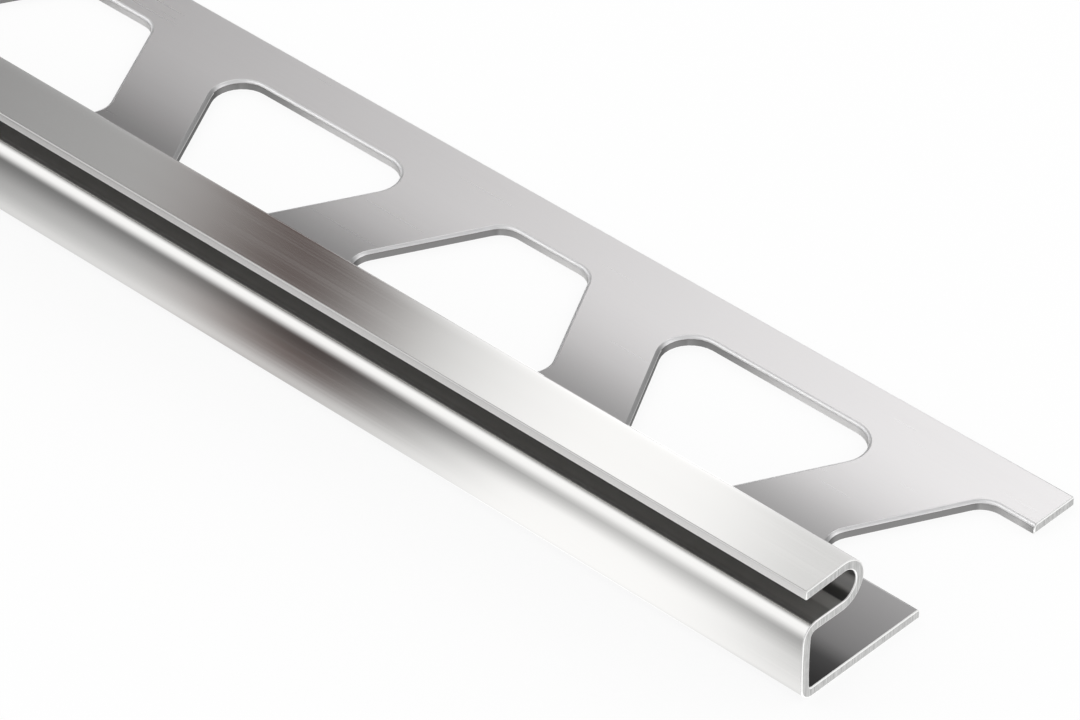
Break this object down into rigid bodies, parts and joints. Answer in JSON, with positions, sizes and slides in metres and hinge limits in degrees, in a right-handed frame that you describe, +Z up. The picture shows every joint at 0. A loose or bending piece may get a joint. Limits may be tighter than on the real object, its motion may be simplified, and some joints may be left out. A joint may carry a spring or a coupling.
{
  "type": "tile edge trim",
  "caption": "Folded metal strip with a perforated anchoring leg, a front wall, a recessed groove and a flat top lip that finishes the edge of a tiled surface.",
  "frame": {"origin": "on the plane of the underside, in the middle of the length and of the depth", "axes": "+X along the length, -Y the visible front wall, +Y towards the rear edge of the leg, +Z up"},
  "size_m": [1, 0.0292, 0.01],
  "materials": {
    "stainless_steel": "bright rolled stainless steel with a fine grain along the length, plain sawn ends"
  },
  "bodies": {
    "root": {"edge_trim": "stainless_steel"}
  },
  "joints": []
}
